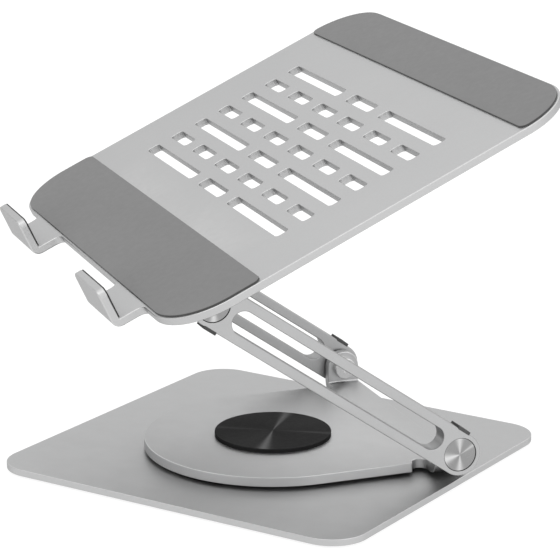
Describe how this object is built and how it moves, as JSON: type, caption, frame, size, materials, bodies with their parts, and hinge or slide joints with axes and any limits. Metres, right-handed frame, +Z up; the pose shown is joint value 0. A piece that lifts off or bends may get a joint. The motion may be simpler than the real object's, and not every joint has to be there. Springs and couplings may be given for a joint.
{
  "type": "laptop stand",
  "caption": "Laptop stand with a slotted, ventilated tray and front hooks, carried by hinged slotted arms on a turntable that swivels on a flat base plate.",
  "frame": {"origin": "on the swivel axis, at desk level: the underside of the centre foot pad", "axes": "+Z up; X along both hinge lines, +X to the user's right; the laptop hooks face -Y. The base plate is turned 36.5 degrees about +Z under the turntable, as the rest pose has it."},
  "size_m": [0.2724, 0.2702, 0.2069],
  "materials": {
    "base_metal": "bead-blasted, silver anodised",
    "turntable_metal": "bead-blasted, silver anodised",
    "arm_metal": "bead-blasted, silver anodised",
    "tray_metal": "bead-blasted, silver anodised, with worn-bright rims",
    "black_metal": "black anodised disc with a spun radial sheen",
    "spun_metal": "bright spun disc",
    "turned_metal": "turned, plain",
    "bolt_steel": "nickel-plated steel",
    "spring_steel": "plain steel",
    "dark_steel": "blackened steel",
    "friction_plastic": "filled nylon",
    "slide_plastic": "PTFE sheet",
    "foot_rubber": "matte silicone",
    "bumper_rubber": "matte rubber",
    "pad_silicone": "fine matte silicone sheet",
    "hook_silicone": "matte silicone sheet"
  },
  "bodies": {
    "base": {"base_plate": "base_metal", "foot_pad_1": "foot_rubber", "foot_pad_2": "foot_rubber", "foot_pad_3": "foot_rubber", "foot_pad_4": "foot_rubber", "centre_foot_pad": "foot_rubber", "pivot_hub": "turned_metal", "hub_screws": "dark_steel", "lower_slide_washer": "slide_plastic", "upper_slide_washer": "slide_plastic", "retainer_ring": "turned_metal", "retainer_screws": "dark_steel"},
    "turntable": {"turntable": "turntable_metal", "centre_cap": "black_metal", "lower_hinge_bolts": "bolt_steel", "lower_friction_washers": "friction_plastic", "lower_spring_washers": "spring_steel", "lower_lock_nuts": "spring_steel"},
    "arms": {"right_arm": "arm_metal", "left_arm": "arm_metal", "lower_right_cap": "spun_metal", "lower_left_cap": "spun_metal", "upper_right_cap": "spun_metal", "upper_left_cap": "spun_metal", "lower_right_bumper": "bumper_rubber", "lower_left_bumper": "bumper_rubber", "upper_right_bumper": "bumper_rubber", "upper_left_bumper": "bumper_rubber"},
    "tray": {"tray": "tray_metal", "front_pad": "pad_silicone", "rear_pad": "pad_silicone", "right_hook_pad": "hook_silicone", "left_hook_pad": "hook_silicone", "right_bracket": "arm_metal", "left_bracket": "arm_metal", "bracket_screws": "dark_steel", "upper_hinge_bolts": "bolt_steel", "upper_friction_washers": "friction_plastic", "upper_spring_washers": "spring_steel", "upper_lock_nuts": "spring_steel"}
  },
  "joints": [
    {"name": "swivel", "type": "hinge", "parent": "base", "child": "turntable", "pos_m": [0, 0, 0.01], "axis": [0, 0, 1], "continuous": true},
    {"name": "arm_lift", "type": "hinge", "parent": "turntable", "child": "arms", "pos_m": [0, 0.067, 0.0193], "axis": [1, 0, 0], "range_deg": [-40, 24]},
    {"name": "tray_tilt", "type": "hinge", "parent": "arms", "child": "tray", "pos_m": [0, -0.06103, 0.10895], "axis": [1, 0, 0], "range_deg": [-49, 28]}
  ]
}
